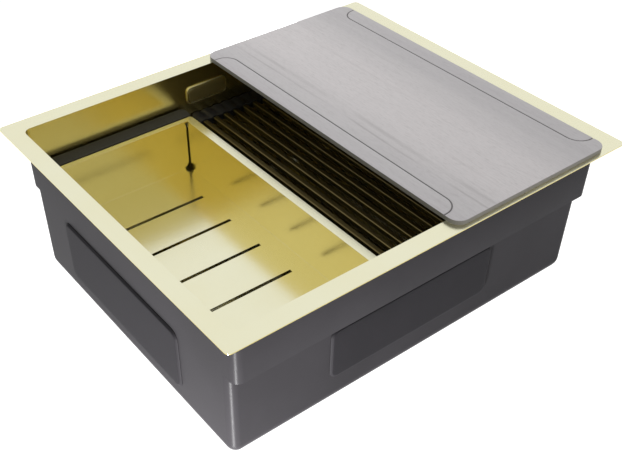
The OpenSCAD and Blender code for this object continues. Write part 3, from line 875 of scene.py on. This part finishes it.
# %% Mat
rod_low, rod_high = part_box("mat_rods")
ROD = 8
ROD_EDGE = 1.5
ROD_PITCH = 17
ROD_COUNT = round(((rod_high.x - rod_low.x) / MM - ROD) / ROD_PITCH) + 1
ROD_Z = (rod_low.z + rod_high.z) / 2 / MM
ROD_FIRST = rod_low.x / MM + ROD / 2
STRIP_R = 6
STRIP_OUT = 225
STRIP_DIP = 1.6
WAVE_STEPS = 8


def rod_mesh():
    mesh = bmesh.new()
    flat = ROD / 2 - ROD_EDGE
    for i in range(ROD_COUNT):
        centre = ROD_FIRST + i * ROD_PITCH
        ends = []
        for y in (rod_low.y / MM, rod_high.y / MM):
            row = []
            for quarter in range(4):
                sx = 1 if quarter in (0, 3) else -1
                sz = 1 if quarter in (0, 1) else -1
                for step in range(5):
                    angle = math.radians(90 * quarter + 22.5 * step)
                    x = centre + sx * flat + ROD_EDGE * math.cos(angle)
                    z = ROD_Z + sz * flat + ROD_EDGE * math.sin(angle)
                    row.append(mesh.verts.new(Vector((x, y, z)) * MM))
            ends.append(row)
        closed_rows(mesh, ends)
    return outward(mesh)


def strip_mesh(node):
    """The strip's wavy outline in the XZ plane, pulled along Y."""
    low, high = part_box(node)
    outline = []
    steps = WAVE_STEPS * ROD_COUNT
    x0, x1 = low.x / MM, high.x / MM
    for i in range(steps + 1):
        x = x0 + (x1 - x0) * i / steps
        wave = 0.5 - 0.5 * math.cos(2 * math.pi * (x - ROD_FIRST) / ROD_PITCH)
        outline.append((x, high.z / MM - STRIP_DIP * wave ** 2))
    outline += [(x1, low.z / MM), (x0, low.z / MM)]
    mesh = bmesh.new()
    closed_rows(mesh, [[mesh.verts.new(Vector((x, y / MM, z)) * MM) for x, z in outline]
                       for y in (low.y, high.y)])
    return outward(mesh)


rods = to_object("mat_square_rods", rod_mesh())
settle(rods, "mat", rod_gold, "bronze_steel", "mat_rods")
for end_name in ("back", "front"):
    strip = to_object("mat_end_" + end_name, strip_mesh("mat_strip_" + end_name))
    strip_low, strip_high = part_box("mat_strip_" + end_name)
    slab = rounded_slab((strip_low.x + strip_high.x) / 2 / MM,
                        (strip_high.x - strip_low.x) / 2 / MM, STRIP_OUT, STRIP_R, -80, -60)
    cut(strip, [slab], "INTERSECT")
    add_bevel(strip, width=0.6, steps=3, angle=40)
    settle(strip, "mat", silicone, "dark_silicone", "mat_strip_" + end_name)

# %% [markdown]
# ## The board
# A thin solid board with crisp, barely broken edges. A fine groove with sloped sides runs round a
# finger strip on each long side and ends at the board's edge. The underside hovers a hair over the
# rim, so that no two faces share one place. The groove's section is given from its sides in to its
# bottom, as steps inwards and heights over the board's top.

# %% Board
board_low, board_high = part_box("cutting_board")
BOARD_X = (board_low.x + board_high.x) / 2 / MM
BOARD_Y = (board_low.y + board_high.y) / 2 / MM
BOARD_HALF_X = (board_high.x - board_low.x) / 2 / MM
BOARD_HALF_Y = (board_high.y - board_low.y) / 2 / MM
BOARD_T = board_high.z / MM
BOARD_R = 15
GRIP_W = 24.2
GRIP_PAST = 25
GRIP_HALF = 221.5
GRIP_R = 20
GROOVE = ((-1.3, 0.3), (-0.35, -1.2), (0.35, -1.2), (1.3, 0.3))
EDGE = 0.5
HOVER = 0.05


def placed(ring):
    return [(x + BOARD_X, y + BOARD_Y, z) for x, y, z in ring]


def board_ring(inset, z):
    return placed(rounded_ring(BOARD_HALF_X - inset, BOARD_HALF_Y - inset, BOARD_R - inset, z))


def groove_cutter(side):
    """A closed channel: wider at the top than at the bottom, and past the board's edge outside."""
    reach = (GRIP_W + GRIP_PAST) / 2
    centre = BOARD_X + side * (BOARD_HALF_X - GRIP_W + reach)
    mesh = bmesh.new()
    rows = []
    for inset, up in GROOVE:
        ring = rounded_ring(reach - inset, GRIP_HALF - inset, GRIP_R - inset, BOARD_T + up)
        rows.append([mesh.verts.new(Vector((x + centre, y + BOARD_Y, z)) * MM) for x, y, z in ring])
    skin_rows(mesh, [*rows, rows[0]])
    return to_object("cutter", outward(mesh))


outline = [board_ring(EDGE * (1 - math.sin(math.radians(a))),
                      HOVER + EDGE * (1 - math.cos(math.radians(a)))) for a in (0, 45, 90)]
outline += [board_ring(EDGE * (1 - math.cos(math.radians(a))),
                       BOARD_T - EDGE + EDGE * math.sin(math.radians(a))) for a in (0, 45, 90)]
board = to_object("wood_board", outward(loft(outline, first_cap=True, last_cap=True)))
cut(board, [groove_cutter(-1), groove_cutter(1)])
settle(board, "board", board_wood, "board_wood", "cutting_board")

# %% [markdown]
# ## The overflow's cover
# A shallow plate stands over the slot in the back wall. A fine line runs round its bare inner
# field. Along the bottom and the sides the line is a gap that takes the water in; along the top,
# where the field hangs, it is only pressed.

# %% Overflow cover
cover_low, cover_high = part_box("overflow_cover")
COVER_X = cover_high.x / MM
COVER_Z = (cover_high.z + cover_low.z) / 2 / MM
COVER_H = (cover_high.z - cover_low.z) / 2 / MM
COVER_DEEP = 2.2
COVER_SHEET = 0.9
COVER_R, FIELD_R = 7, 2.2
LINE_IN, LINE_OUT = 1.6, 3.0
LINE_DEEP, GAP_DEEP = 0.4, 2
GAP_TOP = 4.5
DRAIN_HALF, DRAIN_LOW, DRAIN_TOP = 20, -14, -10


def cover_ring(inset, out):
    return rounded_ring(COVER_X - inset, COVER_H - inset, max(COVER_R - inset, FIELD_R), out)


def on_wall(mesh):
    mesh.transform(Matrix.Translation(Vector((0, OPEN_Y, COVER_Z)) * MM)
                   @ Matrix.Rotation(math.radians(90), 4, "X"))
    return mesh


def line_cutter(deep):
    front, back = COVER_DEEP + 1, COVER_DEEP - deep
    rows = [(LINE_IN, front), (LINE_IN, back), (LINE_OUT, back), (LINE_OUT, front),
            (LINE_IN, front)]
    mesh = loft([cover_ring(inset, out) for inset, out in rows])
    bmesh.ops.remove_doubles(mesh, verts=mesh.verts[:], dist=1e-7)
    return to_object("cutter", on_wall(outward(mesh)))


cover_profile = [(0, 0), (0, 1.5), (0.1, 1.9), (0.35, COVER_DEEP), (5.5, COVER_DEEP)]
cover_rings = [cover_ring(inset, out) for inset, out in cover_profile]
cover = to_object("overflow_plate", on_wall(loft(cover_rings, last_cap=True)))
thicken(cover, COVER_SHEET)
gap = line_cutter(GAP_DEEP)
cut(gap, [block((-40, OPEN_Y - 4, COVER_Z - 20), (40, OPEN_Y + 1, COVER_Z + GAP_TOP))],
    "INTERSECT")
drain = block((-DRAIN_HALF, OPEN_Y - 1.2, COVER_Z + DRAIN_LOW),
              (DRAIN_HALF, OPEN_Y + 1, COVER_Z + DRAIN_TOP))
cut(cover, [line_cutter(LINE_DEEP), gap, drain])
settle(cover, "sink", cover_gold, "gold_steel", "overflow_cover")

# %% [markdown]
# ## The ribbed hose
# The overflow drains through a ribbed hose that can take its bend without kinking. Rings are laid
# along the hose's way, straight down, round and level to the waste, and each sixth ring swells
# into a rib. Both ends stay plain, where the bands clamp them.

# %% Hose
hose_low, hose_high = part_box("overflow_hose")
HOSE_R = (hose_high.x - hose_low.x) / 2
HOSE_BEND = 0.045
RIB_PITCH = 0.004
RIB_DEPTH = 0.0012
RIB_STEPS = 6
CUFF = 0.014
ROUND = 20


def hose_point(s):
    """The hose's place and direction at a distance s along it, from its top."""
    y = hose_high.y - HOSE_R
    z_low = hose_low.z + HOSE_R
    drop = hose_high.z - z_low - HOSE_BEND
    arc = HOSE_BEND * math.pi / 2
    if s < drop:
        return Vector((0, y, hose_high.z - s)), Vector((0, 0, -1))
    if s < drop + arc:
        angle = (s - drop) / HOSE_BEND
        centre = Vector((0, y - HOSE_BEND, z_low + HOSE_BEND))
        return (centre + HOSE_BEND * Vector((0, math.cos(angle), -math.sin(angle))),
                Vector((0, -math.sin(angle), -math.cos(angle))))
    return Vector((0, y - HOSE_BEND - (s - drop - arc), z_low)), Vector((0, -1, 0))


def hose_mesh():
    drop = hose_high.z - hose_low.z - HOSE_R - HOSE_BEND
    run = hose_high.y - HOSE_R - HOSE_BEND - hose_low.y
    length = drop + HOSE_BEND * math.pi / 2 + run
    count = RIB_STEPS * round(length / RIB_PITCH)
    mesh = bmesh.new()
    rows = []
    for i in range(count + 1):
        s = length * i / count
        plain = s < CUFF or s > length - CUFF
        swell = 0.5 if plain else 0.5 + 0.5 * math.cos(2 * math.pi * i / RIB_STEPS)
        radius = HOSE_R - RIB_DEPTH * (1 - swell)
        place, ahead = hose_point(s)
        side = Vector((1, 0, 0))
        other = ahead.cross(side)
        rows.append([mesh.verts.new(place + radius * (side * math.cos(a) + other * math.sin(a)))
                     for a in (2 * math.pi * k / ROUND for k in range(ROUND))])
    closed_rows(mesh, rows)
    print("hose length", round(length, 4), "m in", count, "steps")
    return outward(mesh)


hose = to_object("ribbed_hose", hose_mesh())
settle(hose, "sink", waste_plastic, "black_plastic", "overflow_hose")

# %% [markdown]
# ## Parts that keep their solid shape
# The waste, the seals, the overflow's chute, the basket and the small fasteners already have their
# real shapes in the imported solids, so they only need their finish.

# %% Dress the remaining solids
KEPT = {
    "rim_seal": seal_rubber, "overflow_seal": seal_rubber, "flange_seal": seal_rubber,
    "body_seal": seal_rubber, "basket_seal": seal_rubber, "overflow_chute": waste_plastic,
    "strainer_body": waste_plastic, "overflow_screws": plain_steel, "hose_clamps": plain_steel,
    "clamp_screw": plain_steel, "strainer_flange": bowl_gold, "basket_cup": bowl_gold,
    "basket_knob": bowl_gold}
for node_name, material in KEPT.items():
    solid = NODES[node_name]
    solid.data.materials.clear()
    solid.data.materials.append(material)
print("dressed:", ", ".join(KEPT))

# %% [markdown]
# ## Floor, light and surroundings
# The sink hangs at the height of a worktop, so the floor is far below it and takes only a soft
# shadow. The world is a plain pale studio with three lamps: a large soft one above the back, a tall
# narrow one low by the front left corner and a square one low behind the sink at the right. Metal
# mirrors only the narrow one. A pale grey card, partly see-through, stands behind the camera on the
# right, as photographers of metal do, so that the steel's walls mirror something a little darker
# than the room. The camera itself never sees the card.

# %% Studio
FLOOR_DROP = 0.9
CARD_PLACE = (1.05, -1.75, 1.35)
CARD_SIZE = (1.3, 1.2, 1)
CARD_CLEAR = 0.3
ROOM_LEVEL = 0.55
FLOOR_GLOW = 0.55


def studio_world():
    world = bpy.data.worlds.new("studio")
    world.use_nodes = True
    nodes = Nodes(world.node_tree)
    back = nodes.tree.nodes["Background"]
    nodes.feed(back.inputs["Strength"], ROOM_LEVEL + (1 - ROOM_LEVEL) * nodes.seen())
    nodes.feed(back.inputs["Color"], (1, 1, 1, 1))
    bpy.context.scene.world = world


def floor_finish():
    finish = Finish("pale_floor")
    plain = finish.node("ShaderNodeBsdfDiffuse", None, {"Color": (0.84, 0.84, 0.84, 1)})
    glow = finish.node("ShaderNodeEmission", None,
                       {"Color": (1, 1, 1, 1), "Strength": finish.seen() * FLOOR_GLOW})
    return finish.surface(finish.node("ShaderNodeAddShader", None,
                                      {0: Wire(finish, plain.outputs[0]),
                                       1: Wire(finish, glow.outputs[0])}))


def make_floor():
    mesh = bmesh.new()
    bmesh.ops.create_grid(mesh, x_segments=2, y_segments=2, size=12)
    mesh.transform(Matrix.Translation((0, 0, -FLOOR_DROP)))
    floor = to_object("studio_floor", mesh)
    floor.data.materials.append(floor_finish())


def make_card():
    """A grey card that the metal mirrors and the camera does not see."""
    mesh = bmesh.new()
    bmesh.ops.create_grid(mesh, x_segments=2, y_segments=2, size=1)
    card = to_object("grey_card", mesh)
    finish = Finish("grey_card")
    grain = finish.noise(finish.place, 30.0)
    grey = finish.node("ShaderNodeBsdfDiffuse", None,
                       {"Color": finish.blend(grain, (0.78, 0.78, 0.78), (0.84, 0.84, 0.84))})
    clear = finish.node("ShaderNodeBsdfTransparent")
    seen = Wire(finish, finish.node("ShaderNodeLightPath").outputs["Is Camera Ray"])
    mixed = finish.node("ShaderNodeMixShader", None,
                        {0: seen.math("MAXIMUM", CARD_CLEAR),
                         1: Wire(finish, grey.outputs[0]), 2: Wire(finish, clear.outputs[0])})
    card.data.materials.append(finish.surface(mixed))
    card.location = CARD_PLACE
    card.scale = CARD_SIZE
    card.rotation_mode = "QUATERNION"
    card.rotation_quaternion = (-Vector(CARD_PLACE)).to_track_quat("Z", "Y")


def soft_lamp(name, place, aim, size, power, mirrored=True):
    data = bpy.data.lights.new(name, "AREA")
    data.shape = "RECTANGLE"
    data.size, data.size_y = size
    data.energy = power
    lamp = bpy.data.objects.new(name, data)
    lamp.location = place
    lamp.rotation_mode = "QUATERNION"
    lamp.rotation_quaternion = (Vector(aim) - Vector(place)).to_track_quat("-Z", "Y")
    lamp.visible_camera = False
    lamp.visible_glossy = mirrored
    bpy.context.scene.collection.objects.link(lamp)
    print("lamp:", name, power, "W")


studio_world()
make_floor()
make_card()
soft_lamp("top_back_softbox", (-0.3, 0.8, 1.4), (0, 0.1, 0), (1.4, 1.2), 13, False)
soft_lamp("corner_strip", (-0.53, -0.42, -0.47), (-0.28, -0.22, -0.12), (0.08, 0.30), 11)
soft_lamp("back_fill", (1.2, 1.9, -0.55), (0, 0, -0.1), (1.0, 1.0), 24, False)
bpy.context.scene.view_settings.view_transform = "Standard"
